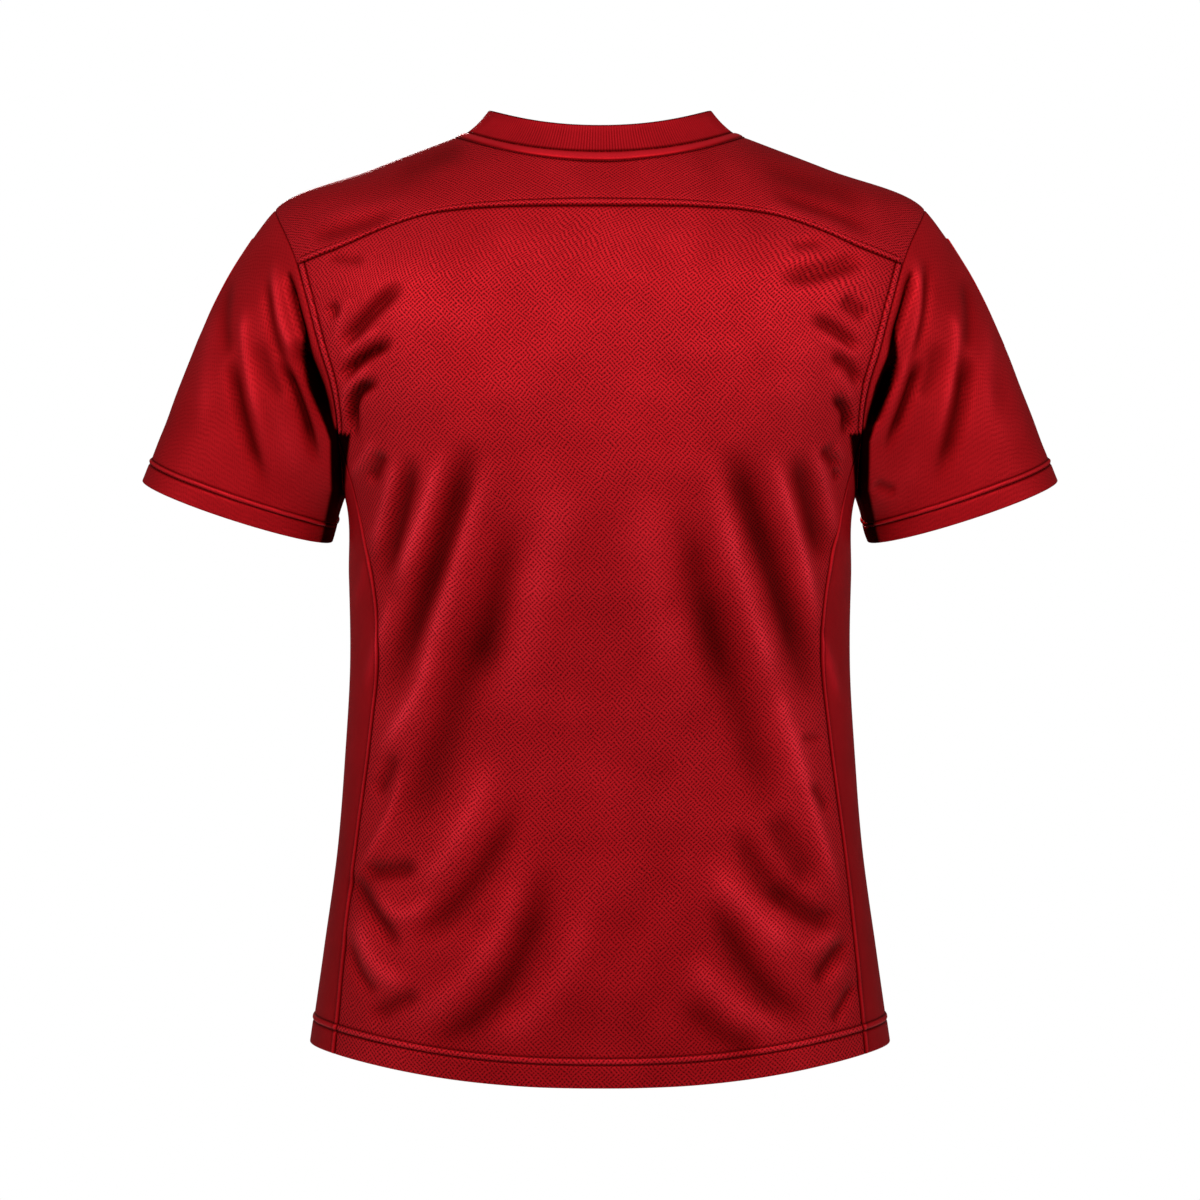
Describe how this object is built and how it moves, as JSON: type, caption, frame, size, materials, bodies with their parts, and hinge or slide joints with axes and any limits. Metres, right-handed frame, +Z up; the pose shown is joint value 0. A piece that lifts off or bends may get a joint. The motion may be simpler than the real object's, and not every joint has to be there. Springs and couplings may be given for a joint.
{
  "type": "football jersey",
  "caption": "Short-sleeved crew-neck football jersey in plain red mesh cloth, hollow and filled out as worn, with back yoke and side panels.",
  "frame": {"origin": "midway between the two high shoulder points, where the neck seam crosses the tops of the shoulders and the jersey hangs on its wearer", "axes": "+Z up, -Y out of the front, +Y out of the back, +X towards the wearer's left sleeve"},
  "size_m": [0.696, 0.2663, 0.7215],
  "materials": {
    "mesh_cloth": "red polyester micromesh with a satin sheen",
    "side_cloth": "smooth red polyester knit with a satin sheen",
    "rib_knit": "fine red rib knit",
    "tape": "smooth red covering tape"
  },
  "bodies": {
    "root": {"back": "mesh_cloth", "yoke": "mesh_cloth", "front": "mesh_cloth", "side_left": "side_cloth", "side_right": "side_cloth", "sleeve_left": "mesh_cloth", "sleeve_right": "mesh_cloth", "collar": "rib_knit", "neck_tape": "tape"}
  },
  "joints": []
}
